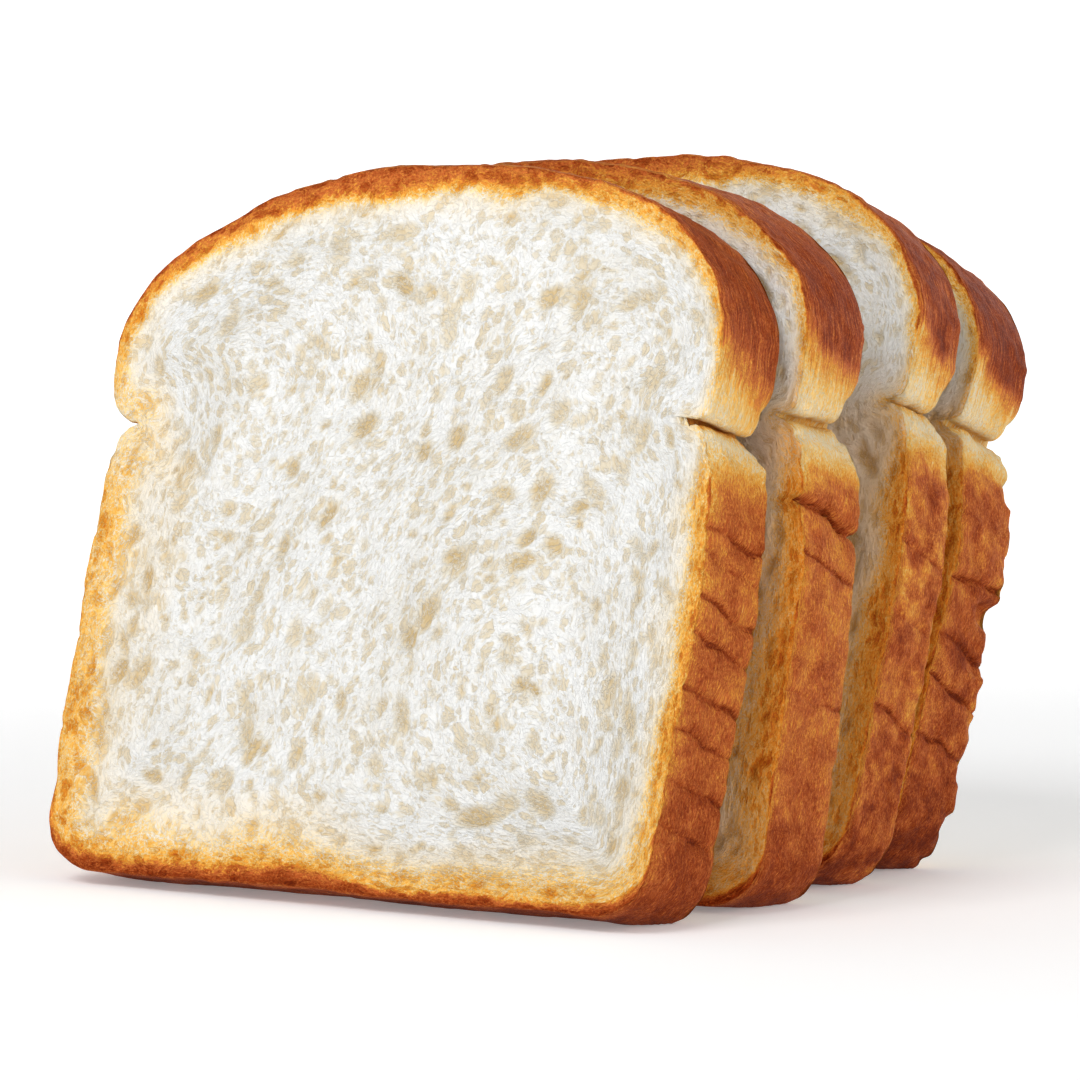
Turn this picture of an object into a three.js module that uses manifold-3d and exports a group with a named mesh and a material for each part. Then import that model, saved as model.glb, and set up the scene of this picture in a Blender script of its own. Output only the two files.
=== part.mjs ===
// Sliced end of a white tin loaf: four slices of bread that stand one behind the other on
// their bottom crusts, each leaning back a little. Millimetres, +Z up. +X runs across the
// slices, -Y is the side that the first cut face looks to, and the origin is on the
// surface, under the middle of the row.

import * as THREE from 'three';
import { mergeVertices } from 'three/addons/utils/BufferGeometryUtils.js';
import Module from 'manifold-3d';

const wasm = await Module();
wasm.setup();

// Driving dimensions, in millimetres.
const LOAF_HEIGHT = 120;
const CORNER_RADIUS = 11;
const SHOULDER_HEIGHT = 50;
const NOTCH_HEIGHT = 77;
const DOME_HEIGHT = 91;

// Half widths of each side of the loaf, from the foot that the tin held up to the dome
// that rose out of it. crown says how far out the top stays level: 1 is the dome's edge.
const RIGHT_SIDE = { foot: 62, shoulder: 65, notch: 58, dome: 63, crown: 0.96 };
const LEFT_SIDE = { foot: 64, shoulder: 64, notch: 57, dome: 65, crown: 0.91 };

// How far the outline runs straight on before each bend: up from the shoulder, up or
// down from the notch, and down or up from the dome's widest point.
const SHOULDER_RUN = 20;
const NOTCH_RUN = 1;
const DOME_RUN_DOWN = 7;
const DOME_RUN_UP = 1;

// Share of the shoulder's overhang that the lower lip of the notch keeps.
const NOTCH_LIP = 0.6;

// How far the soft bottom crust is pressed flat where a leaning slice rests on it.
const PRESSED_FLAT = 1.2;

// Segments in each curved stretch of the outline.
const CURVE_SEGMENTS = 14;

// One entry for each slice, front to back. lean and turn are in degrees, and x and y
// place the rear edge of the foot, on which the slice stands.
const SLICES = [
  { thickness: 16, rise: 1, lean: 13.5, turn: 0, x: 0, y: 0 },
  { thickness: 16.5, rise: 1.005, lean: 8, turn: -0.5, x: 3, y: 28.5 },
  { thickness: 14, rise: 1.045, lean: 14.5, turn: 0.5, x: -0.5, y: 53.5 },
  { thickness: 16.5, rise: 0.99, lean: 18, turn: -1, x: -3, y: 77 },
];

const crust = new THREE.MeshStandardMaterial({
  name: 'bread',
  color: 0xd9a76a,
  roughness: 0.9,
  metalness: 0,
});

// Outline of one half, from the middle of the foot round to the middle of the crown.
function halfOutline(side) {
  const notchLip = side.notch + (side.shoulder - side.notch) * NOTCH_LIP;
  const path = new THREE.Path();
  path.moveTo(0, 0);
  path.lineTo(side.foot - CORNER_RADIUS, 0);
  path.absarc(side.foot - CORNER_RADIUS, CORNER_RADIUS, CORNER_RADIUS, -Math.PI / 2, 0);
  path.lineTo(side.shoulder, SHOULDER_HEIGHT);
  path.bezierCurveTo(
    side.shoulder, SHOULDER_HEIGHT + SHOULDER_RUN,
    notchLip, NOTCH_HEIGHT - NOTCH_RUN,
    side.notch, NOTCH_HEIGHT,
  );
  path.bezierCurveTo(
    side.dome, NOTCH_HEIGHT + NOTCH_RUN,
    side.dome, DOME_HEIGHT - DOME_RUN_DOWN,
    side.dome, DOME_HEIGHT,
  );
  path.bezierCurveTo(
    side.dome, DOME_HEIGHT + DOME_RUN_UP,
    side.dome * side.crown, LOAF_HEIGHT,
    0, LOAF_HEIGHT,
  );
  return path.getPoints(CURVE_SEGMENTS);
}

// The whole cut face: the right half, then the left half mirrored and walked back down.
function faceShape(rise) {
  const right = halfOutline(RIGHT_SIDE);
  const left = halfOutline(LEFT_SIDE).map((point) => new THREE.Vector2(-point.x, point.y));
  const points = right.concat(left.reverse().slice(1, -1));
  for (const point of points) {
    point.y *= rise;
  }
  return new THREE.Shape(points);
}

// A closed three.js geometry as a manifold solid.
function toSolid(geometry) {
  const bare = geometry.clone();
  bare.deleteAttribute('normal');
  bare.deleteAttribute('uv');
  const merged = mergeVertices(bare);
  return new wasm.Manifold(new wasm.Mesh({
    numProp: 3,
    vertProperties: new Float32Array(merged.attributes.position.array),
    triVerts: new Uint32Array(merged.index.array),
  }));
}

// A manifold solid as a three.js geometry.
function toGeometry(solid) {
  const mesh = solid.getMesh();
  const geometry = new THREE.BufferGeometry();
  geometry.setAttribute('position', new THREE.BufferAttribute(mesh.vertProperties, 3));
  geometry.setIndex(new THREE.BufferAttribute(mesh.triVerts, 1));
  geometry.computeVertexNormals();
  return geometry;
}

// Everything below the surface that the loaf stands on, as a box to cut with.
function underTheSurface() {
  const reach = 4 * LOAF_HEIGHT;
  const box = new THREE.BoxGeometry(reach, reach, LOAF_HEIGHT);
  box.translate(0, 0, -LOAF_HEIGHT / 2);
  return toSolid(box);
}

// One slice: its face pushed through its thickness, stood on the rear edge of its foot,
// leaned back, and pressed flat where it meets the surface.
function sliceGeometry(slice) {
  const body = new THREE.ExtrudeGeometry(faceShape(slice.rise), {
    depth: slice.thickness,
    bevelEnabled: false,
  });
  body.rotateX(Math.PI / 2);
  body.rotateX(-THREE.MathUtils.degToRad(slice.lean));
  body.translate(0, 0, -PRESSED_FLAT);
  return toGeometry(toSolid(body).subtract(underTheSurface()));
}

const loaf = new THREE.Group();
SLICES.forEach((slice, index) => {
  const mesh = new THREE.Mesh(sliceGeometry(slice), crust.clone());
  mesh.name = `slice_${index + 1}`;
  mesh.rotation.z = THREE.MathUtils.degToRad(slice.turn);
  mesh.position.set(slice.x, slice.y, 0);
  loaf.add(mesh);
});

// The origin goes under the middle of the row, on the surface.
const middle = new THREE.Box3().setFromObject(loaf, true).getCenter(new THREE.Vector3());
loaf.position.set(-middle.x, -middle.y, 0);

export default loaf;
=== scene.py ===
"""A standing row of thick tin loaf slices: open white crumb inside a baked crust.

Sizes inside a slice are in millimetres: u runs across its cut face, v through its
thickness from the front face to the back, and w up its height from the foot.
"""

import itertools
import logging
import math
from dataclasses import dataclass, field
from enum import Enum
from typing import Any, Callable, ClassVar, Sequence

import bmesh
import bpy
import numpy as np
from mathutils import Matrix, Vector
from mathutils.kdtree import KDTree


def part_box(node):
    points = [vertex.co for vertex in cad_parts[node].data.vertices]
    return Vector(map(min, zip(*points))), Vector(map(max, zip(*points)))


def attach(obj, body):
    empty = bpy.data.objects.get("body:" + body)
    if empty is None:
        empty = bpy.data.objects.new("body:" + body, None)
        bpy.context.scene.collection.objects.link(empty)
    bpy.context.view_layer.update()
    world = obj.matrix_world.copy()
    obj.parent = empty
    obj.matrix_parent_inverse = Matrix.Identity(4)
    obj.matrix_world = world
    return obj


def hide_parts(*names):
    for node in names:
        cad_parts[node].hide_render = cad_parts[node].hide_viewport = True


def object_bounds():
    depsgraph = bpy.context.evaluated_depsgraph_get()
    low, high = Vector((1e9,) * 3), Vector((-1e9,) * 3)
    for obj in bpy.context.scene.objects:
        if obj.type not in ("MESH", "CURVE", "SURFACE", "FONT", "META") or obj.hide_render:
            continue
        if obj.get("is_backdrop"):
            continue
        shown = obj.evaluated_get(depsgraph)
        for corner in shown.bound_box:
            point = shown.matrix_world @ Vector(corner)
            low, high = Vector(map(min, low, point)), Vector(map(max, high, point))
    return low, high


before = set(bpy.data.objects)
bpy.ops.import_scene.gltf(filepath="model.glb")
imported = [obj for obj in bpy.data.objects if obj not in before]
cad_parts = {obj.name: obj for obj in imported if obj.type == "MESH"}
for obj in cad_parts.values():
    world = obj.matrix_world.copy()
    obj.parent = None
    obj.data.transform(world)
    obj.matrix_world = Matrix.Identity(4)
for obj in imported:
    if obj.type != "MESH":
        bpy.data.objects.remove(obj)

MM = 0.001
MAP_NAME = "OFBake"

RIM_POINTS = 2400
CELLS_ACROSS = 196
CELLS_THROUGH = 18
ON_PLANE = 1e-4

# Beyond these distances from a slice's middle a place belongs to the side crust.
SIDE_STARTS = 30.0
CHEEK_STARTS = 40.0

log = logging.getLogger("tin_loaf")

Array = np.ndarray


class Side(Enum):
    """A side of the loaf, with the sign of u there."""

    LEFT = -1
    RIGHT = 1


class Mixing(Enum):
    """A way to mix two colours."""

    PLAIN = "MIX"
    DARKEN = "MULTIPLY"


def smoothstep(low: float, high: float, value: Array) -> Array:
    """Eases from 0 where the value is low or less to 1 where it is high or more."""
    share = np.clip((value - low) / (high - low), 0.0, 1.0)
    return share * share * (3.0 - 2.0 * share)


def bell(off: Array, width: float | Array) -> Array:
    """Falls from 1 where off is 0 to almost 0 at twice the width either way."""
    return np.exp(-((off / width) ** 2))


class SoftNoise:
    """Smooth seeded noise in three dimensions, between about -1 and 1."""

    CELLS = 48

    def __init__(self, seed: int) -> None:
        """Draws the lattice from a seed."""
        self.lattice = np.random.default_rng(seed).uniform(-1.0, 1.0, (self.CELLS,) * 3)

    def at(self, u: Array, v: Array, w: Array, size: float) -> Array:
        """Reads the noise at points.

        Args:
            u: First coordinates.
            v: Second coordinates.
            w: Third coordinates.
            size: Width of one bump, in the coordinates' unit.

        Returns:
            One value for each point.
        """
        cells = []
        shares = []
        for part in np.broadcast_arrays(u, v, w):
            part = part / size
            base = np.floor(part)
            share = part - base
            cells.append(base.astype(int) % self.CELLS)
            shares.append(share * share * (3.0 - 2.0 * share))
        total = 0.0
        for corner in itertools.product((0, 1), repeat=3):
            weight = 1.0
            spot = []
            for bit, cell, share in zip(corner, cells, shares):
                weight = weight * (share if bit else 1.0 - share)
                spot.append((cell + bit) % self.CELLS)
            total = total + weight * self.lattice[tuple(spot)]
        return total


@dataclass(frozen=True)
class LoafSide:
    """Half widths of one side of the loaf, in millimetres.

    crown says how far out the top stays level: 1 is the dome's edge.
    """

    foot: float
    shoulder: float
    notch: float
    dome: float
    crown: float


@dataclass(frozen=True)
class BakeStop:
    """How the crust is baked at one height up a side of the loaf.

    brown is the skin's colour, from 0 for raw white to 1 for dark brown. edge is how
    deep that colour shows on a cut face, gold how deep the golden band behind it goes,
    and tan how brown that band is.
    """

    height: float
    brown: float
    edge: float
    gold: float
    tan: float


def bezier(points: Sequence[tuple[float, float]], count: int) -> Array:
    """Walks a cubic Bezier curve.

    Args:
        points: Its start, two handles and end.
        count: How many points to give, without the start.

    Returns:
        The points, one row each.
    """
    start, first, second, end = (np.array(point, float) for point in points)
    t = np.linspace(0.0, 1.0, count + 1)[1:, None]
    rest = 1.0 - t
    return (
        rest**3 * start + 3 * rest**2 * t * first + 3 * rest * t**2 * second + t**3 * end
    )


def spaced(path: Array, shares: Array) -> Array:
    """Finds points at shares of a path's length.

    Args:
        path: The path's points, one row each.
        shares: How far along each wanted point lies, from 0 to 1.

    Returns:
        The wanted points, one row each.
    """
    along = np.r_[0.0, np.cumsum(np.linalg.norm(np.diff(path, axis=0), axis=1))]
    want = shares * along[-1]
    return np.c_[np.interp(want, along, path[:, 0]), np.interp(want, along, path[:, 1])]


@dataclass(frozen=True)
class Rim:
    """The closed outline of a cut face, with how it is baked at each point."""

    points: Array
    normals: Array
    stops: Array

    def nearest(self, u: Array, w: Array) -> tuple[Array, Array]:
        """Finds the outline point nearest to each place.

        Args:
            u: Places across the face.
            w: Places up the face.

        Returns:
            The index of the nearest outline point, and the distance to the outline.
        """
        tree = KDTree(len(self.points))
        for number, point in enumerate(self.points):
            tree.insert((point[0], point[1], 0.0), number)
        tree.balance()
        found = [tree.find((x, y, 0.0)) for x, y in zip(u, w)]
        return np.array([hit[1] for hit in found]), np.array([hit[2] for hit in found])


@dataclass(frozen=True)
class LoafProfile:
    """The outline that every slice shares, cut across the tin."""

    right: LoafSide = LoafSide(foot=62, shoulder=65, notch=58, dome=63, crown=0.96)
    left: LoafSide = LoafSide(foot=64, shoulder=64, notch=57, dome=65, crown=0.91)
    height: float = 120.0
    corner_radius: float = 11.0
    shoulder_height: float = 50.0
    notch_height: float = 77.0
    dome_height: float = 91.0
    shoulder_run: float = 20.0
    notch_run: float = 1.0
    dome_run_down: float = 7.0
    dome_run_up: float = 1.0
    notch_lip: float = 0.6
    curve_steps: int = 60
    right_bake: tuple[BakeStop, ...] = (
        BakeStop(0, 0.93, 2.2, 8.0, 0.27),
        BakeStop(6, 0.86, 1.0, 6.5, 0.24),
        BakeStop(14, 0.79, 0.6, 4.6, 0.29),
        BakeStop(30, 0.70, 0.7, 4.2, 0.38),
        BakeStop(55, 0.69, 0.6, 3.8, 0.36),
        BakeStop(64, 0.74, 0.6, 3.4, 0.34),
        BakeStop(68, 0.56, 0.6, 2.8, 0.28),
        BakeStop(71, 0.34, 0.6, 2.2, 0.18),
        BakeStop(74, 0.20, 0.6, 1.8, 0.13),
        BakeStop(76, 0.16, 0.6, 1.6, 0.10),
        BakeStop(80, 0.21, 0.6, 1.4, 0.12),
        BakeStop(84, 0.35, 0.6, 1.6, 0.20),
        BakeStop(88, 0.60, 0.6, 2.0, 0.28),
        BakeStop(91, 0.84, 0.6, 2.2, 0.32),
        BakeStop(95, 0.88, 0.6, 2.6, 0.29),
        BakeStop(103, 0.90, 0.7, 3.2, 0.31),
        BakeStop(112, 0.80, 0.8, 4.0, 0.36),
        BakeStop(120, 0.77, 1.9, 5.2, 0.60),
    )
    left_bake: tuple[BakeStop, ...] = (
        BakeStop(0, 0.92, 3.6, 6.0, 0.36),
        BakeStop(6, 0.70, 2.0, 6.6, 0.31),
        BakeStop(14, 0.52, 2.4, 9.6, 0.26),
        BakeStop(40, 0.46, 3.0, 9.4, 0.24),
        BakeStop(66, 0.44, 2.8, 8.6, 0.24),
        BakeStop(73, 0.20, 0.9, 4.6, 0.07),
        BakeStop(78, 0.14, 0.7, 4.2, 0.05),
        BakeStop(84, 0.36, 0.8, 4.2, 0.22),
        BakeStop(90, 0.60, 1.2, 4.6, 0.36),
        BakeStop(98, 0.74, 1.9, 4.8, 0.42),
        BakeStop(112, 0.80, 2.8, 5.2, 0.52),
        BakeStop(120, 0.78, 3.6, 5.6, 0.64),
    )

    def half(self, side: LoafSide) -> Array:
        """Walks one half of the outline, from the middle of the foot to the crown.

        Args:
            side: The side to walk.

        Returns:
            Its points, with u positive whichever side it is.
        """
        radius = self.corner_radius
        turn = np.linspace(-math.pi / 2, 0.0, self.curve_steps)
        corner = np.c_[
            side.foot - radius + radius * np.cos(turn), radius + radius * np.sin(turn)
        ]
        lip = side.notch + (side.shoulder - side.notch) * self.notch_lip
        low, middle, high = self.shoulder_height, self.notch_height, self.dome_height
        ends = (
            (side.shoulder, low),
            (side.notch, middle),
            (side.dome, high),
            (0.0, self.height),
        )
        handles = (
            ((side.shoulder, low + self.shoulder_run), (lip, middle - self.notch_run)),
            ((side.dome, middle + self.notch_run), (side.dome, high - self.dome_run_down)),
            ((side.dome, high + self.dome_run_up), (side.dome * side.crown, self.height)),
        )
        curves = [
            bezier((start, *pair, end), share * self.curve_steps)
            for start, pair, end, share in zip(ends, handles, ends[1:], (1, 1, 2))
        ]
        return np.vstack([[(0.0, 0.0)], corner, [ends[0]], *curves])

    def edges(self, rise: float) -> dict[str, Array]:
        """Splits the outline into the four edges of a face, at the heels and the brows.

        Args:
            rise: How much taller this slice is than the profile.

        Returns:
            The foot and crown from left to right, and the left and right from heel to
            brow.
        """
        halves = {}
        for side, widths in ((Side.RIGHT, self.right), (Side.LEFT, self.left)):
            walk = self.half(widths) * (side.value, rise)
            heel = 1 + self.curve_steps // 2
            step = np.abs(np.diff(walk, axis=0))
            above = walk[:-1, 1] > self.dome_height * rise
            brow = int(np.argmax(above & (step[:, 1] < step[:, 0])))
            halves[side] = (walk[: heel + 1], walk[heel : brow + 1], walk[brow:])
        right, left = halves[Side.RIGHT], halves[Side.LEFT]
        return {
            "foot": np.vstack([left[0][::-1], right[0][1:]]),
            "right": right[1],
            "crown": np.vstack([left[2], right[2][::-1][1:]]),
            "left": left[1],
        }

    def rim(self, rise: float) -> Rim:
        """Lays evenly spaced points round the outline, with their outward normals.

        Args:
            rise: How much taller this slice is than the profile.

        Returns:
            The outline.
        """
        right = self.half(self.right)
        left = (self.half(self.left) * (Side.LEFT.value, 1))[::-1]
        walk = np.vstack([right, left[1:]]) * (1, rise)
        points = spaced(walk, np.arange(RIM_POINTS) / RIM_POINTS)
        run = np.roll(points, -2, axis=0) - np.roll(points, 2, axis=0)
        run /= np.linalg.norm(run, axis=1)[:, None]
        normals = np.c_[run[:, 1], -run[:, 0]]
        return Rim(points, normals, self.baked(points, rise))

    def baked(self, points: Array, rise: float) -> Array:
        """Looks up how the crust is baked beside each outline point.

        Args:
            points: The outline points.
            rise: How much taller this slice is than the profile.

        Returns:
            Columns of brown, edge, gold and tan.
        """
        height = points[:, 1] / rise
        rows = []
        for stops in (self.left_bake, self.right_bake):
            heights = [stop.height for stop in stops]
            rows.append(
                [
                    np.interp(height, heights, [getattr(stop, name) for stop in stops])
                    for name in ("brown", "edge", "gold", "tan")
                ]
            )
        to_right = smoothstep(-12.0, 12.0, points[:, 0])
        return np.transpose(rows[0] + (np.array(rows[1]) - rows[0]) * to_right)


@dataclass(frozen=True)
class Pores:
    """The open pores of one cut face, as ellipses that follow the grain."""

    middle: Array
    along: Array
    reach: Array
    depth: Array
    dim: Array

    @staticmethod
    def scattered(
        rng: np.random.Generator,
        count: int,
        rim: Rim,
        grain: Callable[[Array, Array], Array],
    ) -> "Pores":
        """Scatters pores over a face.

        Args:
            rng: The seeded source of chance.
            count: How many pores to try.
            rim: The face's outline.
            grain: Gives the grain height at places; pores lie along its contours.

        Returns:
            The pores that lie inside the outline.
        """
        low, high = rim.points.min(axis=0), rim.points.max(axis=0)
        middle = rng.uniform(low, high, (count, 2))
        index, gap = rim.nearest(middle[:, 0], middle[:, 1])
        inward = ((middle - rim.points[index]) * rim.normals[index]).sum(axis=1) < 0
        size = np.minimum(0.5 + 0.50 * rng.pareto(2.4, count), 2.0)
        size = np.minimum(size, 0.55 + 0.12 * gap)
        keep = inward & (gap > 0.8 + size)
        middle, size = middle[keep], size[keep]
        step = 0.5
        slope = np.c_[
            grain(middle[:, 0] + step, middle[:, 1]) - grain(middle[:, 0] - step, middle[:, 1]),
            grain(middle[:, 0], middle[:, 1] + step) - grain(middle[:, 0], middle[:, 1] - step),
        ]
        angle = np.arctan2(slope[:, 0], -slope[:, 1])
        angle = angle + rng.normal(0.0, 0.35, len(size))
        stretch = rng.uniform(1.2, 2.2, len(size)) + np.exp(-gap[keep] / 9.0)
        return Pores(
            middle=middle,
            along=np.c_[np.cos(angle), np.sin(angle)],
            reach=np.c_[size * stretch, size],
            depth=np.minimum(0.38 * size + 0.08, 0.8) * rng.uniform(0.6, 1.1, len(size)),
            dim=np.minimum(rng.uniform(0.20, 0.75, len(size)) + 0.20 * size, 1.0),
        )

    def over(self, u: Array, w: Array) -> tuple[Array, Array]:
        """Works out the pores over the points of a face.

        Args:
            u: Places across the face.
            w: Places up the face.

        Returns:
            How much painted shade each place gets, from 0 outside the pores to 1 in the
            dimmest, and how deep the surface sinks there.
        """
        inside = np.zeros(len(u))
        sunk = np.zeros(len(u))
        order = np.argsort(u)
        sorted_u = u[order]
        for middle, along, reach, depth, dim in zip(
            self.middle, self.along, self.reach, self.depth, self.dim
        ):
            span = 1.5 * reach[0]
            first, last = np.searchsorted(sorted_u, (middle[0] - span, middle[0] + span))
            near = order[first:last]
            near = near[np.abs(w[near] - middle[1]) < span]
            du, dw = u[near] - middle[0], w[near] - middle[1]
            x = (du * along[0] + dw * along[1]) / reach[0]
            y = (dw * along[0] - du * along[1]) / reach[1]
            far = np.sqrt(x * x + y * y)
            # painted shade in the pore, its darkest part shifted toward one end
            dark = dim * (1.0 - smoothstep(0.45, 1.02, far - 0.15 * x))
            inside[near] = np.maximum(inside[near], dark)
            sunk[near] = np.maximum(sunk[near], depth * (1.0 - smoothstep(0.45, 1.15, far)))
        return inside, sunk


@dataclass(frozen=True)
class Crease:
    """A fold pressed into the side crust, running through the slice's thickness.

    height is where it starts on the front edge and fall how much lower it is at the back.
    depth and width are the groove's, step is how far the crust below it stands back and
    reach is how far the groove runs in over the cut face.
    """

    height: float
    fall: float
    depth: float = 0.55
    width: float = 0.45
    step: float = 0.0
    reach: float = 0.5
    side: Side = Side.RIGHT


@dataclass(frozen=True)
class Tear:
    """A scrap of crust torn out of the rear edge of the right side.

    height is its middle, tall half its height and deep how far in it goes.
    """

    height: float
    tall: float
    deep: float


@dataclass(frozen=True)
class Layout:
    """Where each vertex of a slice lies, with the outline and the noise that shape it.

    side, front and back tell which surfaces a vertex is on, rim_index is its nearest
    outline point and depth_in its distance from the outline.
    """

    rim: Rim
    noise: SoftNoise
    u: Array
    v: Array
    w: Array
    side: Array
    front: Array
    back: Array
    rim_index: Array
    depth_in: Array

    def bumps(self, size: float, shift: float = 0.0) -> Array:
        """Reads the noise at every vertex, or some way behind it."""
        return self.noise.at(self.u, self.v + shift, self.w, size)

    def sheet(self, size: float, layer: float) -> Array:
        """Reads one layer of the noise, the same all through the slice's thickness."""
        return self.noise.at(self.u, layer, self.w, size)


@dataclass
class Slice:
    """One slice of the loaf, standing on its foot and leaning back.

    rise is how much taller it is than the profile, lean and turn are in degrees, and
    pressed is how far its foot is pressed flat. bake_shift darkens the whole skin and
    mottled is how uneven it is. blush paints warm shade on the crumb in the gap that
    a neighbour shelters, and shelter widens the golden band beside it. cleft is how far
    the dome hangs over the notch and how much painted shade darkens the notch under it,
    and torn_edge how chipped the rear edge is.
    """

    CREASE_MARK: ClassVar[float] = 0.95
    GRAIN_JUMP: ClassVar[float] = 40.0
    SEED_SPACING: ClassVar[float] = 200.0
    WAVE_STRETCH: ClassVar[float] = 4.0

    node: str
    thickness: float
    rise: float
    lean: float
    turn: float
    seed: int
    creases: tuple[Crease, ...]
    profile: LoafProfile = field(default_factory=LoafProfile)
    bake_shift: float = 0.0
    # painted warm shade for the crumb in the gap behind the slice in front
    blush: float = 0.0
    pressed: float = 1.2
    mottled: float = 0.09
    pore_count: int = 950
    cleft: float = 0.5
    shelter: float = 1.0
    torn_edge: float = 0.25
    tears: tuple[Tear, ...] = ()
    shape: Layout = field(init=False)

    def build(self, blank: bpy.types.Mesh) -> bpy.types.Object:
        """Makes the slice's mesh where the frame holds it.

        Args:
            blank: The closed blank that every slice starts from.

        Returns:
            The slice, at the origin, with its place in its mesh.
        """
        mesh = blank.copy()
        mesh.name = self.node
        grid = np.empty(len(mesh.vertices) * 3)
        mesh.vertices.foreach_get("co", grid)
        grid = grid.reshape(-1, 3)
        shape = self.shape = self.laid_out(grid)
        self.lay_out_map(mesh, grid)
        grain = self.grain()
        wave = shape.noise.at(
            shape.u / self.WAVE_STRETCH, shape.w / self.WAVE_STRETCH, grain, 2.3
        )
        pore, sunk = self.pore_cover()
        fold, inward = self.folds()
        stored = {
            "bake": self.bake_amount(),
            "pore": pore,
            "fold": fold,
            "skin": shape.side.astype(float),
            # painted warm shade in the gaps between slices
            "blush": self.gap_shaded(),
            "wave": 0.5 + 0.5 * wave,
            "dome": smoothstep(76.0, 84.0, shape.w / self.rise),
            "grain": self.bent(grain),
        }
        for name, values in stored.items():
            self.record(mesh, name, values)
        place = self.stood(self.sculpted(sunk, inward))
        mesh.vertices.foreach_set("co", place.astype(np.float32).ravel())
        mesh.polygons.foreach_set("use_smooth", np.ones(len(mesh.polygons), bool))
        mesh.update()
        piece = bpy.data.objects.new(f"bread_{self.node}", mesh)
        bpy.context.scene.collection.objects.link(piece)
        log.info("%s: %d vertices", piece.name, len(mesh.vertices))
        return piece

    @staticmethod
    def blank() -> bpy.types.Mesh:
        """Makes a closed blank: two fine square grids joined by a band.

        Returns:
            The blank, 2 wide and high, its front at z = 0 and its back at z = -1.
        """
        bm = bmesh.new()
        bmesh.ops.create_grid(bm, x_segments=CELLS_ACROSS, y_segments=CELLS_ACROSS, size=1.0)
        whole = bm.verts[:] + bm.edges[:] + bm.faces[:]
        parts = bmesh.ops.duplicate(bm, geom=whole)["geom"]
        back = [part for part in parts if isinstance(part, bmesh.types.BMVert)]
        faces = [part for part in parts if isinstance(part, bmesh.types.BMFace)]
        bmesh.ops.translate(bm, verts=back, vec=(0.0, 0.0, -1.0))
        bmesh.ops.reverse_faces(bm, faces=faces)
        loops = [edge for edge in bm.edges if edge.is_boundary]
        band = bmesh.ops.bridge_loops(bm, edges=loops)
        bmesh.ops.subdivide_edges(
            bm,
            edges=[edge for edge in band["edges"] if edge.calc_length() > 0.5],
            cuts=CELLS_THROUGH - 1,
            use_grid_fill=True,
        )
        mesh = bpy.data.meshes.new("blank")
        bm.to_mesh(mesh)
        bm.free()
        return mesh

    def laid_out(self, grid: Array) -> Layout:
        """Spreads the blank's square grid over the slice's outline.

        Args:
            grid: The blank's vertices.

        Returns:
            Where each vertex lies.
        """
        rim = self.profile.rim(self.rise)
        edges = self.profile.edges(self.rise)
        s, t = (grid[:, 0] + 1.0) / 2.0, (grid[:, 1] + 1.0) / 2.0
        foot, crown = spaced(edges["foot"], s), spaced(edges["crown"], s)
        left, right = spaced(edges["left"], t), spaced(edges["right"], t)
        s, t = s[:, None], t[:, None]
        corners = (
            (1 - s) * (1 - t) * edges["foot"][0]
            + s * (1 - t) * edges["foot"][-1]
            + (1 - s) * t * edges["crown"][0]
            + s * t * edges["crown"][-1]
        )
        spot = (1 - t) * foot + t * crown + (1 - s) * left + s * right - corners
        depth = np.clip(-grid[:, 2], 0.0, 1.0)
        index, gap = rim.nearest(spot[:, 0], spot[:, 1])
        edge_of_grid = np.abs(grid[:, :2]).max(axis=1) > 1.0 - 1e-5
        gap[edge_of_grid] = 0.0
        return Layout(
            rim=rim,
            noise=SoftNoise(self.seed),
            u=spot[:, 0],
            v=depth * self.thickness,
            w=spot[:, 1],
            side=edge_of_grid,
            front=depth < ON_PLANE,
            back=depth > 1.0 - ON_PLANE,
            rim_index=index,
            depth_in=gap,
        )

    def grain_height(self, u: Array, w: Array, gap: Array) -> Array:
        """The height whose contours the crumb's fibres follow.

        Args:
            u: Places across the face.
            w: Places up the face.
            gap: How far each is from the outline.

        Returns:
            The height at each place.
        """
        rings = 26.0 * (1.0 - np.exp(-gap / 26.0))
        middle = 1.0 - bell(gap, 22.0)
        slant = 0.62 * u - 0.34 * w
        swirl = 3.2 * self.shape.noise.at(u, 7.0, w, 19.0)
        return rings + middle * 0.75 * slant + swirl * (0.25 + 0.75 * middle)

    def grain(self) -> Array:
        """The grain height of every vertex, running on round the side.

        Returns:
            The grain height of each vertex.
        """
        shape = self.shape
        face = self.grain_height(shape.u, shape.w, shape.depth_in)
        edge = self.grain_height(shape.u, shape.w, 0.0 * shape.u)
        face = np.where(shape.back, face - self.GRAIN_JUMP, face)
        return np.where(shape.side, edge - shape.v, face)

    def bent(self, grain: Array) -> Array:
        """Bends the coordinates that the finish reads, so that no pattern runs straight.

        Args:
            grain: The grain height of each vertex.

        Returns:
            The bent coordinates, in millimetres.
        """
        shape = self.shape
        place = np.c_[shape.u, shape.w, grain]
        for number, amount in enumerate((0.9, 0.9, 0.5)):
            shift = shape.bumps(3.4, 11.0 * number)
            place[:, number] += amount * shift + self.SEED_SPACING * (self.seed + number)
        return place

    def pore_cover(self) -> tuple[Array, Array]:
        """Opens pores over both cut faces.

        Returns:
            How far inside a pore each vertex is, and how deep it sinks.
        """
        shape = self.shape

        def grain(u: Array, w: Array) -> Array:
            """The grain height at places on the face."""
            return self.grain_height(u, w, shape.rim.nearest(u, w)[1])

        inside, sunk = np.zeros((2, len(shape.u)))
        for number, face in enumerate((shape.front, shape.back)):
            rng = np.random.default_rng((self.seed, number))
            pores = Pores.scattered(rng, self.pore_count, shape.rim, grain)
            face = face & ~shape.side
            u, w = shape.u[face], shape.w[face]
            wobble = 0.35 * shape.noise.at(u, number, w, 1.6)
            inside[face], sunk[face] = pores.over(u + wobble, w - wobble)
        return inside, sunk

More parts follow.
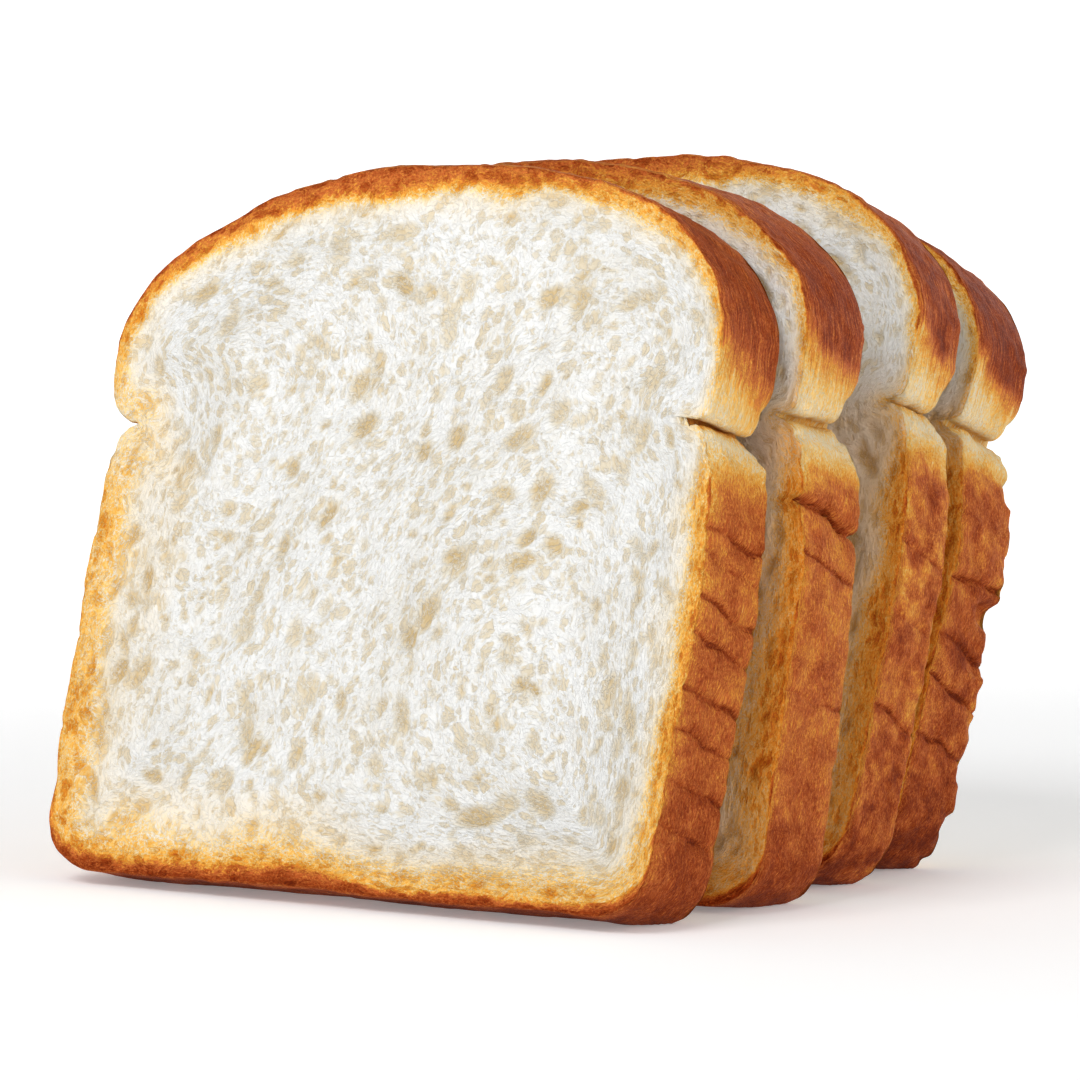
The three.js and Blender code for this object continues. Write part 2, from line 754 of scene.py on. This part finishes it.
    def folds(self) -> tuple[Array, Array]:
        """Presses the creases into the side crust.

        Returns:
            How far into a crease each vertex is, from 0 to 1, for the bump and painted shade
            of its line, and how far in it moves.
        """
        shape = self.shape
        amount, inward = np.zeros((2, len(shape.u)))
        share = shape.v / self.thickness
        for crease in self.creases:

            def uneven(row: float, size: float, height: float = crease.height) -> Array:
                """Noise that changes only through the slice's thickness."""
                return shape.noise.at(shape.v, height, row, size)

            line = crease.height - crease.fall * share
            off = shape.w - (line + 0.8 * uneven(9.0, 4.0) + 0.3 * uneven(2.0, 1.2))
            on_side = shape.u * crease.side.value > SIDE_STARTS
            on_side = bell(shape.depth_in, crease.reach) * on_side
            fading = on_side * (0.90 + 0.18 * uneven(30.0, 5.0))
            groove = bell(off, crease.width) * fading
            pillow = 0.45 * np.exp(-np.abs(off) / 1.6) * fading
            ledge = crease.step * (off < 0.0) * np.exp(off / 9.0) * on_side
            # how much painted shade and bump the crease line gets
            mark = bell(off, self.CREASE_MARK) * fading
            amount = np.maximum(amount, mark * min(1.0, 0.75 + 0.3 * crease.depth))
            inward = np.maximum(inward, crease.depth * (groove + pillow)) + ledge
        return amount, inward

    def bake_amount(self) -> Array:
        """How brown each vertex is baked.

        Returns:
            The bake, from 0 for white crumb to 1 for dark crust.
        """
        shape = self.shape
        uneven = shape.bumps(9.0)
        patchy = shape.bumps(3.2, 40.0)
        flecks = shape.bumps(1.3, 80.0)
        height = shape.w / self.rise
        above_notch = shape.w > self.profile.notch_height * self.rise
        lag = 5.0 * shape.v / self.thickness * above_notch
        wavy = 1.3 * uneven + 0.8 * patchy
        spots = np.c_[shape.u, shape.w + (lag + wavy) * shape.side]
        brown, _, gold, tan = self.profile.baked(spots, self.rise).T

        mottle = self.mottled * (1.0 - 0.65 * smoothstep(80.0, 92.0, height))
        mottle = 0.06 * uneven + mottle * (patchy + 0.8 * flecks)
        from_cut = np.minimum(shape.v, self.thickness - shape.v)
        scuffed = 0.14 * np.exp(-from_cut / 1.4)
        skin = brown + (mottle + self.bake_shift - scuffed) * smoothstep(0.2, 0.6, brown)
        # painted shade in the notch under the dome's overhanging lip, together with browner crust
        # there
        notch = bell(height - 76.3, 1.3) * (np.abs(shape.u) > CHEEK_STARTS)
        skin = skin + 0.46 * notch * self.cleft

        edge_tone, edge = shape.rim.stops[shape.rim_index, :2].T
        stray = (0.7 * patchy + 0.3 * flecks) * (shape.depth_in > 0.3)
        gap = np.maximum(shape.depth_in * (1.0 + 0.35 * uneven) + stray, 0.0)
        rim_tone = edge_tone * bell(gap, edge)
        beside = smoothstep(20.0, 36.0, shape.u) * (1.0 - smoothstep(70.0, 82.0, shape.w))
        share = gap / (gold * (1.0 + (self.shelter - 1.0) * beside))
        band = (tan + 0.07 * patchy + 0.05 * flecks) * (1.0 - smoothstep(0.35, 1.35, share))
        band = band + 0.12 * (1.0 - smoothstep(0.6, 2.4, share))
        cut = np.maximum(rim_tone, band)
        return np.clip(np.where(shape.side, skin, cut), 0.0, 1.0)

    def gap_shaded(self) -> Array:
        """How much painted warm shade the crumb gets in the gap a neighbour shelters.

        Returns:
            The painted shade of each vertex.
        """
        shape = self.shape
        beside = smoothstep(10.0, 30.0, shape.u) * (1.0 - smoothstep(72.0, 92.0, shape.w))
        patchy = 0.12 * shape.bumps(6.0, 60.0)
        inward = 1.0 - 0.40 * smoothstep(3.0, 30.0, shape.depth_in)
        return (self.blush + patchy * (self.blush > 0.0)) * beside * inward * shape.front

    def sculpted(self, sunk: Array, inward: Array) -> Array:
        """Shapes the crust and the cut faces.

        Args:
            sunk: How deep each vertex sinks into a pore.
            inward: How far the creases press each vertex in.

        Returns:
            Places in the slice's own u, v and w, in millimetres.
        """
        shape = self.shape
        u, v, w = shape.u, shape.v, shape.w
        normal = shape.rim.normals[shape.rim_index]
        near_rim = np.exp(-shape.depth_in / 4.0)
        cheek = np.abs(u) > CHEEK_STARTS
        height = w / self.rise

        def toward_rear(distance: float) -> Array:
            """Eases from 0 at a distance from the rear face to 1 on it."""
            return smoothstep(self.thickness - distance, self.thickness, v)

        swell = 0.50 * shape.noise.at(u, v * 0.5, w, 14.0) + 0.28 * shape.bumps(5.0)
        ragged = 0.16 * shape.bumps(1.7) * (0.4 + shape.side)
        tatters = 0.9 * shape.bumps(3.0) + 0.4 * shape.bumps(1.5)
        tatters = bell(height - 73.0, 3.6) * cheek * tatters
        to_right, to_left = u > CHEEK_STARTS, u < -CHEEK_STARTS
        hung = self.cleft * (1.0 * to_right + 0.1 * to_left)
        lip = bell(height - 79.0, 1.7) * hung
        notch = bell(height - 76.8, 0.6) * hung
        lumpy = np.where(u < 0.0, 1.5, 1.0)
        out = (swell * lumpy + tatters + ragged + 0.6 * lip - 0.8 * notch) * near_rim
        rear = toward_rear(5.0)
        out -= 3.0 * rear * rear * bell(height - 78.5, 3.2) * cheek * near_rim
        chips = smoothstep(0.15, 0.6, shape.sheet(4.5, 5.0)) + 0.5 * shape.sheet(2.0, 25.0)
        chipped = toward_rear(3.0) * (height < 74.0) * (np.abs(u) > SIDE_STARTS)
        out -= self.torn_edge * chips * chipped * near_rim
        for tear in self.tears:
            off = (w - tear.height + 0.5 * shape.bumps(2.0)) / tear.tall
            gone = np.exp(-(off**4)) * smoothstep(self.thickness - 8.0, self.thickness - 3.0, v)
            out -= tear.deep * gone * near_rim * (u > SIDE_STARTS)
        on_face = shape.front | shape.back
        rounding = (0.30 + 0.12 * shape.bumps(1.1)) * (shape.side & on_face)
        out -= inward + rounding

        above_foot = smoothstep(0.5, 14.0, w)
        u = u + normal[:, 0] * out
        w = w + normal[:, 1] * out * np.where(w < 2.0, 0.35 + 0.65 * above_foot, 1.0)
        w = w - (1.9 - 1.6 * rear) * lip * near_rim
        rough = 0.08 * shape.bumps(1.3)
        into = np.where(shape.front, 1.0, -1.0) * on_face
        face = on_face & ~shape.side
        v = v + into * ((sunk + rough + 0.5 * inward) * face + rounding * 0.9)
        v = v + 0.35 * shape.sheet(24.0, 3.0) * on_face
        return np.c_[u, v, w]

    def stood(self, place: Array) -> Array:
        """Stands the slice up where the frame holds it.

        Args:
            place: Places in the slice's own u, v and w, in millimetres.

        Returns:
            The places in the row's frame, in metres.
        """
        lean, turn = math.radians(self.lean), math.radians(self.turn)

        def pose(points: Array) -> Array:
            """Leans and turns points about the rear edge of the foot.

            Args:
                points: Places in u, v and w, in millimetres.

            Returns:
                The turned places, in metres.
            """
            back = points[:, 1] - self.thickness
            y = back * math.cos(lean) + points[:, 2] * math.sin(lean)
            z = points[:, 2] * math.cos(lean) - back * math.sin(lean) - self.pressed
            x = points[:, 0] * math.cos(turn) - y * math.sin(turn)
            return np.c_[x, points[:, 0] * math.sin(turn) + y * math.cos(turn), z] * MM

        u, w = self.shape.rim.points.T
        sides = [np.c_[u, np.full(len(u), v), w] for v in (0.0, self.thickness)]
        corners = pose(np.vstack(sides))
        low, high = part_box(self.node)
        middle = (corners.min(axis=0) + corners.max(axis=0)) / 2
        shift = np.array((low + high) / 2) - middle
        shift[2] = 0.0
        stood = pose(place) + shift
        stood[:, 2] = np.maximum(stood[:, 2], 0.0)
        return stood

    def record(self, mesh: bpy.types.Mesh, name: str, values: Array) -> None:
        """Stores a value for each vertex, for the finish to read.

        Args:
            mesh: The slice's mesh.
            name: What the finish calls it.
            values: One number or one vector for each vertex.
        """
        kind, key = ("FLOAT", "value") if values.ndim == 1 else ("FLOAT_VECTOR", "vector")
        layer = mesh.attributes.new(name, kind, "POINT")
        layer.data.foreach_set(key, values.astype(np.float32).ravel())

    def lay_out_map(self, mesh: bpy.types.Mesh, grid: Array) -> None:
        """Lays out a map: the two cut faces side by side, the side crust in strips.

        Args:
            mesh: The slice's mesh.
            grid: The blank's vertices.
        """

        def gathered(items: Any, key: str) -> Array:
            """Reads one whole number from each item of a mesh.

            Args:
                items: The mesh's loops or polygons.
                key: The number's name.

            Returns:
                The numbers.
            """
            values = np.empty(len(items), int)
            items.foreach_get(key, values)
            return values

        place = grid[gathered(mesh.loops, "vertex_index")]
        starts = gathered(mesh.polygons, "loop_start")
        totals = gathered(mesh.polygons, "loop_total")
        mean = np.add.reduceat(place, starts, axis=0) / totals[:, None]
        mean = np.repeat(mean, totals, axis=0)
        uv = np.zeros((len(place), 2))
        front, back = mean[:, 2] > -ON_PLANE, mean[:, 2] < -1.0 + ON_PLANE
        spread = 0.24 * place[:, :2]
        uv[front] = spread[front] + (0.25, 0.75)
        uv[back] = spread[back] + (0.75, 0.75)
        side = ~(front | back)
        for strip, (axis, sign) in enumerate(itertools.product((0, 1), (-1, 1))):
            on = side & (np.abs(mean[:, axis] - sign) < ON_PLANE)
            uv[on, 0] = 0.5 + 0.49 * place[on, 1 - axis]
            uv[on, 1] = 0.015 + 0.12 * strip - 0.105 * place[on, 2]
        layer = mesh.uv_layers.new(name=MAP_NAME)
        layer.uv.foreach_set("vector", uv.astype(np.float32).ravel())


class Wire:
    """A shader value that Python arithmetic can work on."""

    def __init__(self, graph: "Graph", socket: bpy.types.NodeSocket) -> None:
        """Wraps an output socket of a graph."""
        self.graph = graph
        self.socket = socket

    def __add__(self, other: "Wire | float") -> "Wire":
        """Adds."""
        return self.graph.math("ADD", self, other)

    def __sub__(self, other: "Wire | float") -> "Wire":
        """Subtracts."""
        return self.graph.math("SUBTRACT", self, other)

    def __rsub__(self, other: float) -> "Wire":
        """Subtracts from a number."""
        return self.graph.math("SUBTRACT", other, self)

    def __mul__(self, other: "Wire | float") -> "Wire":
        """Multiplies."""
        return self.graph.math("MULTIPLY", self, other)

    __radd__ = __add__
    __rmul__ = __mul__

    def at_least(self, other: "Wire | float") -> "Wire":
        """The larger of two values."""
        return self.graph.math("MAXIMUM", self, other)

    def eased(self, low: float, high: float) -> "Wire":
        """Eases from 0 where the value is low or less to 1 where it is high or more."""
        node = self.graph.node(
            "ShaderNodeMapRange",
            {"interpolation_type": "SMOOTHSTEP"},
            {"Value": self, "From Min": low, "From Max": high},
        )
        return Wire(self.graph, node.outputs["Result"])


class Graph:
    """A material's node tree, built by expressions."""

    def __init__(self, name: str) -> None:
        """Starts an empty material.

        Args:
            name: The material's name.
        """
        self.material = bpy.data.materials.new(name)
        self.material.use_nodes = True
        self.tree = self.material.node_tree
        self.tree.nodes.clear()

    def node(
        self, kind: str, settings: dict[str, Any], inputs: dict[str | int, Any]
    ) -> bpy.types.Node:
        """Adds a node.

        Args:
            kind: Its type.
            settings: Its properties, and its ramp's stops under "stops".
            inputs: The value, socket or wire for each named input.

        Returns:
            The node.
        """
        node = self.tree.nodes.new(kind)
        for key, value in settings.items():
            if key == "stops":
                self.set_stops(node, value)
            else:
                setattr(node, key, value)
        for key, value in inputs.items():
            if isinstance(value, Wire):
                value = value.socket
            if isinstance(value, bpy.types.NodeSocket):
                self.tree.links.new(value, node.inputs[key])
            else:
                node.inputs[key].default_value = value
        return node

    @staticmethod
    def set_stops(node: bpy.types.Node, stops: "Stops") -> None:
        """Gives a ramp its stops.

        Args:
            node: The ramp.
            stops: Places and colours.
        """
        elements = node.color_ramp.elements
        while len(elements) < len(stops):
            elements.new(1.0)
        for element, (place, colour) in zip(elements, stops):
            element.position = place
            element.color = (*colour, 1.0)

    def math(self, operation: str, first: "Wire | float", second: "Wire | float") -> Wire:
        """Adds a Math node for two values."""
        settings = {"operation": operation}
        return Wire(self, self.node("ShaderNodeMath", settings, {0: first, 1: second}).outputs[0])

    def read(self, name: str) -> Wire:
        """Reads a number that the mesh stores."""
        node = self.node("ShaderNodeAttribute", {"attribute_name": name}, {})
        return Wire(self, node.outputs["Fac"])

    def ramp(self, stops: "Stops", place: Wire) -> bpy.types.NodeSocket:
        """Reads a colour from a ramp."""
        node = self.node("ShaderNodeValToRGB", {"stops": stops}, {"Fac": place})
        return node.outputs["Color"]

    def stretched(
        self, vector: bpy.types.NodeSocket, sizes: Sequence[float]
    ) -> bpy.types.NodeSocket:
        """Divides a vector by the sizes of a pattern's cells."""
        inputs = {0: vector, 1: [1.0 / size for size in sizes]}
        return self.node("ShaderNodeVectorMath", {"operation": "MULTIPLY"}, inputs).outputs[0]

    def noise(
        self,
        vector: bpy.types.NodeSocket,
        sizes: Sequence[float],
        detail: float = 2.0,
        roughness: float = 0.5,
    ) -> Wire:
        """Adds noise of about 0.5 on average, its features of the sizes given."""
        inputs = {
            "Vector": self.stretched(vector, sizes),
            "Scale": 1.0,
            "Detail": detail,
            "Roughness": roughness,
        }
        return Wire(self, self.node("ShaderNodeTexNoise", {}, inputs).outputs["Fac"])

    def cells(
        self, vector: bpy.types.NodeSocket, sizes: Sequence[float]
    ) -> tuple[Wire, Wire]:
        """Adds a pattern of irregular cells.

        Args:
            vector: Where to read it, in millimetres.
            sizes: The size of its cells along each axis.

        Returns:
            The distance to the nearest cell's middle, and a random value for each cell.
        """
        cell = self.node(
            "ShaderNodeTexVoronoi",
            {"feature": "F1"},
            {"Vector": self.stretched(vector, sizes), "Scale": 1.0, "Randomness": 1.0},
        )
        split = self.node("ShaderNodeSeparateColor", {}, {0: cell.outputs["Color"]})
        return Wire(self, cell.outputs["Distance"]), Wire(self, split.outputs[0])

    def warped(
        self, vector: bpy.types.NodeSocket, size: float, amount: float
    ) -> bpy.types.NodeSocket:
        """Bends a pattern's coordinates with smooth noise.

        Args:
            vector: The coordinates, in millimetres.
            size: How wide the bends are.
            amount: How far they move the pattern.

        Returns:
            The bent coordinates.
        """
        place = self.stretched(vector, (size,) * 3)
        noise = self.node(
            "ShaderNodeTexNoise", {}, {"Vector": place, "Scale": 1.0, "Detail": 1.0}
        )
        shift = self.node(
            "ShaderNodeVectorMath",
            {"operation": "MULTIPLY_ADD"},
            {0: noise.outputs["Color"], 1: (2.0 * amount,) * 3, 2: vector},
        )
        return shift.outputs[0]

    def ridge(self, noise: Wire, start: float) -> Wire:
        """Draws thin lines where a noise crosses its middle; start near 1 thins them."""
        off = self.math("ABSOLUTE", (noise - 0.5) * 2.0, 0.0)
        return (1.0 - off).eased(start, 1.0)

    def blend(
        self, amount: "Wire | float", first: Any, second: Any, how: Mixing = Mixing.PLAIN
    ) -> bpy.types.NodeSocket:
        """Mixes an amount of the second colour into the first."""
        settings = {"data_type": "RGBA", "blend_type": how.value, "clamp_result": False}
        return self.node("ShaderNodeMix", settings, {0: amount, 6: first, 7: second}).outputs[2]

    def finish(self, inputs: dict[str, Any]) -> bpy.types.Material:
        """Ends the graph in a Principled shader.

        Args:
            inputs: The value or link of each of its sockets.

        Returns:
            The material.
        """
        shader = self.node("ShaderNodeBsdfPrincipled", {}, inputs)
        self.node("ShaderNodeOutputMaterial", {}, {"Surface": shader.outputs[0]})
        return self.material


Colour = tuple[float, float, float]
Stops = tuple[tuple[float, Colour], ...]


def shade(red: int, green: int, blue: int) -> Colour:
    """Turns a display colour, from 0 to 255, into the linear one that shaders use."""
    return tuple(
        part / 12.92 if part <= 0.04045 else ((part + 0.055) / 1.055) ** 2.4
        for part in (red / 255, green / 255, blue / 255)
    )


@dataclass(frozen=True)
class CellSize:
    """One size of gas cell in the crumb.

    across and over are the spacing of the cells along the grain and over it, in
    millimetres. narrowest and widest bound how much of that spacing a cell takes, and
    depth is how deep it looks.
    """

    across: float
    over: float
    narrowest: float
    widest: float
    depth: float


@dataclass(frozen=True)
class BreadFinish:
    """Crumb and crust in one finish, from white through gold to dark brown."""

    tones: Stops = (
        (0.0, shade(236, 236, 234)),
        (0.10, shade(243, 231, 208)),
        (0.22, shade(246, 216, 156)),
        (0.34, shade(246, 192, 96)),
        (0.46, shade(238, 160, 56)),
        (0.58, shade(216, 125, 58)),
        (0.70, shade(191, 95, 44)),
        (0.84, shade(154, 64, 22)),
        (1.0, shade(112, 40, 14)),
    )
    # painted shade: the deeper a cell of the crumb, the darker and more beige
    cell_shade_tones: Stops = (
        (0.0, shade(255, 255, 255)),
        (0.25, shade(246, 240, 228)),
        (0.60, shade(239, 225, 199)),
        (1.0, shade(226, 200, 154)),
    )
    fibre_shadow: Colour = (0.80, 0.75, 0.66)
    wall: Colour = shade(249, 249, 248)
    # painted warm shade, as of light bounced off the crust, for the crumb in the gaps
    gap_shade_tint: Colour = (1.0, 0.77, 0.58)
    cells: tuple[CellSize, ...] = (
        CellSize(3.0, 1.05, 0.02, 0.64, 0.60),
        CellSize(1.7, 0.44, 0.10, 0.56, 0.34),
    )

    def crumb_depth(self, g: Graph, grain: bpy.types.NodeSocket, pore: Wire) -> Wire:
        """How deep the open crumb lies, from its gas cells of every size.

        Args:
            g: The graph.
            grain: Where to read it, in millimetres.
            pore: How dim the large pores are.

        Returns:
            The depth, from 0 on the walls between cells to 1 in the deepest.
        """
        wavy = g.warped(grain, 1.1, 0.55)
        ragged = g.noise(grain, (0.9, 0.9, 0.5), detail=1.0)
        depth = pore * (0.55 + ragged * 0.9)
        for size in self.cells:
            distance, chance = g.cells(wavy, (size.across, size.across, size.over))
            reach = chance * (size.widest - size.narrowest) + size.narrowest
            bowl = (reach - distance).eased(-0.04, 0.15)
            depth = depth.at_least(bowl * (0.35 + chance * 0.65) * size.depth)
        return depth

    def build(self) -> bpy.types.Material:
        """Builds the material.

        Returns:
            The material, which reads what the slices store on their vertices.
        """
        g = Graph("bread")
        stored = g.node("ShaderNodeAttribute", {"attribute_name": "grain"}, {})
        grain = stored.outputs["Vector"]
        bake, fold, dome = g.read("bake"), g.read("fold"), g.read("dome")
        wave, blush = g.read("wave"), g.read("blush")
        skin = g.read("skin").eased(0.35, 0.75)
        crumb = 1.0 - skin
        depth = self.crumb_depth(g, grain, g.read("pore"))

        fibres = g.noise(grain, (1.5, 1.5, 0.26), detail=3.0, roughness=0.68)
        speckle = g.noise(grain, (0.50, 0.50, 0.34), detail=3.0, roughness=0.75)
        threads = g.ridge(g.noise(grain, (1.3, 1.3, 0.55), detail=2.0, roughness=0.6), 0.88)
        long = g.noise(grain, (5.0, 5.0, 0.26), detail=2.0, roughness=0.6)
        short = g.noise(grain, (1.0, 1.0, 0.28), detail=3.0, roughness=0.75)
        streaks = short + (long - short) * dome
        baked = bake.eased(0.05, 0.30)
        toasted = bake.eased(0.25, 0.45)
        # crease lines: a groove in the bump and painted shade in the colour
        crease_groove_shade = (fold + (speckle - 0.5) * 0.24).eased(0.58, 0.98) * skin

        # the depth term paints shade into the pores of the golden band
        grains = ((speckle - 0.5) * 0.7 * baked + (depth - 0.2) * 0.17 * toasted) * crumb
        lines = ((streaks - 0.5) * 0.72 + (speckle - 0.5) * 0.45) * skin * baked
        flecks = (short * 0.6 + speckle * 0.4).eased(0.58, 0.70) * skin * baked
        # the crease terms here paint shade into the creases
        index = bake + grains + lines + crease_groove_shade * 0.19 + fold * skin * 0.05
        # painted highlights: threads and flecks lighten the baked crust and crumb
        index = index - threads * 0.13 * baked - flecks * 0.12
        depth = depth * (1.0 - threads * 0.25)

        darken = Mixing.DARKEN
        tone = g.ramp(self.tones, index)
        # painted shade in the crumb's cells and pores, darker the deeper they are
        tone = g.blend(1.0, tone, g.ramp(self.cell_shade_tones, depth * crumb), darken)
        shadow = (0.80 - fibres - wave * 0.30).eased(0.0, 0.40) * crumb * 0.55
        tone = g.blend(shadow, tone, (*self.fibre_shadow, 1.0), darken)
        tone = g.blend(threads * crumb * (1.0 - toasted) * 0.25, tone, (*self.wall, 1.0))
        # painted warm shade over the crumb in the gaps between slices
        tone = g.blend(blush * crumb, tone, (*self.gap_shade_tint, 1.0), darken)

        crumb_height = fibres * 0.4 + speckle * 0.2 + threads * 0.2 + wave * 0.15 - depth * 0.55
        skin_height = streaks * 0.9 + speckle * 0.6 + threads * 0.3 - crease_groove_shade * 0.9
        height = crumb_height * crumb + skin_height * skin
        bump = g.node(
            "ShaderNodeBump",
            {},
            {"Strength": 0.85, "Distance": 0.0006, "Height": height},
        )
        rough = 0.95 - skin * 0.38 + (speckle - 0.5) * 0.4 * skin
        return g.finish(
            {
                "Base Color": tone,
                "Roughness": rough,
                "Normal": bump.outputs["Normal"],
                "Coat Weight": skin * dome * 0.08,
                "Coat Roughness": 0.28,
                "Specular IOR Level": 0.05,
            }
        )


@dataclass(frozen=True)
class Studio:
    """The pale sweep that the loaf stands on, the soft lights and the camera.

    middle is the middle of the loaf's box, and aim is how far from it the camera looks.
    """

    middle: Vector
    azimuth: float = 36.86
    elevation: float = 1.92
    roll: float = -0.63
    distance: float = 0.64
    lens: float = 118.8
    aim: tuple[float, float, float] = (-0.018, 0.0164, -0.0062)
    floor_tone: Colour = (0.93, 0.93, 0.93)
    floor_radius: float = 1.6
    bend_radius: float = 1.2
    bend_steps: int = 8
    surroundings: float = 0.37

    def sight(self) -> Matrix:
        """The camera's turn.

        Returns:
            A matrix whose columns point right, up and back.
        """
        turn = Matrix.Rotation(math.radians(self.azimuth), 3, "Z")
        turn = turn @ Matrix.Rotation(math.radians(90.0 - self.elevation), 3, "X")
        return turn @ Matrix.Rotation(math.radians(self.roll), 3, "Z")

    def add_camera(self) -> None:
        """Adds the camera."""
        turn = self.sight()
        eye = self.middle + Vector(self.aim) + turn.col[2] * self.distance
        data = bpy.data.cameras.new("camera")
        data.lens = self.lens
        data.sensor_width = 36.0
        data.clip_start = 0.01
        camera = bpy.data.objects.new("camera", data)
        camera.matrix_world = Matrix.Translation(eye) @ turn.to_4x4()
        bpy.context.scene.collection.objects.link(camera)
        bpy.context.scene.camera = camera

    def add_sweep(self) -> None:
        """Adds the floor, curving up into a backdrop on every side."""
        bm = bmesh.new()
        bmesh.ops.create_circle(bm, cap_ends=True, segments=96, radius=self.floor_radius)
        rim = [edge for edge in bm.edges if edge.is_boundary]
        for step in range(1, self.bend_steps + 1):
            angle = math.radians(90.0 * step / self.bend_steps)
            made = bmesh.ops.extrude_edge_only(bm, edges=rim)["geom"]
            verts = [part for part in made if isinstance(part, bmesh.types.BMVert)]
            rim = [part for part in made if isinstance(part, bmesh.types.BMEdge)]
            radius = self.floor_radius + self.bend_radius * math.sin(angle)
            height = self.bend_radius * (1.0 - math.cos(angle))
            for vert in verts:
                flat = Vector((vert.co.x, vert.co.y)).normalized() * radius
                vert.co = (flat.x, flat.y, height)
        mesh = bpy.data.meshes.new("sweep")
        bm.to_mesh(mesh)
        bm.free()
        for polygon in mesh.polygons:
            polygon.use_smooth = len(polygon.vertices) == 4
        g = Graph("sweep")
        place = g.node("ShaderNodeTexCoord", {}, {}).outputs["Object"]
        away = g.node("ShaderNodeVectorMath", {"operation": "LENGTH"}, {0: place})
        glow = Wire(g, away.outputs["Value"]).eased(0.10, 0.9)
        mesh.materials.append(
            g.finish(
                {
                    "Base Color": (*self.floor_tone, 1.0),
                    "Roughness": 0.9,
                    "Specular IOR Level": 0.1,
                    "Emission Color": g.blend(glow, (0.2, 0.2, 0.2, 1), (0.64, 0.64, 0.64, 1)),
                    "Emission Strength": 1.0,
                }
            )
        )
        sweep = bpy.data.objects.new("sweep", mesh)
        bpy.context.scene.collection.objects.link(sweep)
        sweep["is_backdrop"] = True

    def add_light(self, name: str, place: Vector, size: float, power: float) -> None:
        """Adds one soft square light that points at the loaf.

        Args:
            name: Its name.
            place: Where it hangs, from the middle of the loaf.
            size: The length of its side.
            power: Its power in watts.
        """
        data = bpy.data.lights.new(name, "AREA")
        data.shape = "SQUARE"
        data.size = size
        data.energy = power
        lamp = bpy.data.objects.new(name, data)
        lamp.location = self.middle + place
        lamp.rotation_euler = (-place).to_track_quat("-Z", "Y").to_euler()
        bpy.context.scene.collection.objects.link(lamp)

    def add_lights(self) -> None:
        """Adds the lights and the pale surroundings."""
        right, _, back = self.sight().col
        self.add_light("key", back * 0.55 - right * 0.45 + Vector((0, 0, 0.75)), 0.5, 4.5)
        self.add_light("fill", back * 0.5 + right * 0.8 + Vector((0, 0, 0.35)), 0.7, 1.6)
        world = bpy.data.worlds.new("surroundings")
        world.use_nodes = True
        shell = world.node_tree.nodes["Background"]
        shell.inputs["Color"].default_value = (1.0, 1.0, 1.0, 1.0)
        shell.inputs["Strength"].default_value = self.surroundings
        bpy.context.scene.world = world
        bpy.context.scene.view_settings.view_transform = "Standard"


SLICE_1_CREASES = (
    Crease(60.5, 2.8),
    Crease(56.0, 3.2, depth=0.40),
    Crease(49.0, 2.6, depth=0.65),
    Crease(43.5, 3.0),
    Crease(35.5, 2.8, depth=0.60),
    Crease(29.0, 2.0, depth=0.45),
    Crease(21.5, 2.2),
    Crease(14.5, 1.6, depth=0.45),
    Crease(58.0, 3.4, side=Side.LEFT),
    Crease(40.0, 2.4, side=Side.LEFT),
    Crease(24.0, 2.9, side=Side.LEFT),
)
SLICE_2_CREASES = (
    Crease(64.5, 4.8, depth=1.6, width=0.6, step=0.9, reach=6.0),
    Crease(55.5, 3.8, depth=0.6),
    Crease(34.0, 2.4, depth=0.3),
    Crease(46.0, 2.4, side=Side.LEFT),
    Crease(18.0, 2.4, side=Side.LEFT),
)
SLICE_3_CREASES = (
    Crease(57.0, 3.4, depth=0.4),
    Crease(45.0, 2.4, depth=0.3),
    Crease(30.0, 3.4, depth=0.4),
    Crease(52.0, 2.4, side=Side.LEFT),
)
SLICE_4_CREASES = (
    Crease(48.5, -2.0, depth=1.2, width=0.6, step=0.5),
    Crease(39.0, 2.4, depth=0.6),
    Crease(31.5, 2.4, depth=0.7),
    Crease(22.0, 1.8, depth=0.5),
    Crease(52.0, 2.4, side=Side.LEFT),
    Crease(30.0, 2.4, side=Side.LEFT),
)


def build_slices() -> list[Slice]:
    """Lists the slices, front to back.

    Returns:
        The slices.
    """
    second = {"blush": 0.95, "shelter": 1.6}
    third = {"blush": 1.1, "shelter": 1.25, "mottled": 0.17}
    fourth = {
        "bake_shift": 0.05,
        "blush": 1.1,
        "shelter": 1.9,
        "mottled": 0.13,
        "torn_edge": 1.3,
        "tears": (Tear(45.5, 2.2, 2.8), Tear(36.0, 1.2, 1.0)),
    }
    return [
        Slice("slice_1", 16.0, 1.0, 13.5, 0.0, 11, SLICE_1_CREASES, cleft=1.0),
        Slice("slice_2", 16.5, 1.005, 8.0, -0.5, 22, SLICE_2_CREASES, **second),
        Slice("slice_3", 14.0, 1.045, 14.5, 0.5, 33, SLICE_3_CREASES, **third),
        Slice("slice_4", 16.5, 0.99, 18.0, -1.0, 44, SLICE_4_CREASES, **fourth),
    ]


def main() -> None:
    """Builds the loaf and the studio."""
    logging.basicConfig(level=logging.INFO, format="%(message)s")
    cad_low, cad_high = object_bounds()
    studio = Studio((cad_low + cad_high) / 2)
    studio.add_camera()
    studio.add_sweep()
    studio.add_lights()
    bread = BreadFinish().build()
    blank = Slice.blank()
    for part in build_slices():
        piece = part.build(blank)
        piece.data.materials.append(bread)
        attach(piece, "root")
        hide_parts(part.node)


if __name__ == "__main__":
    main()
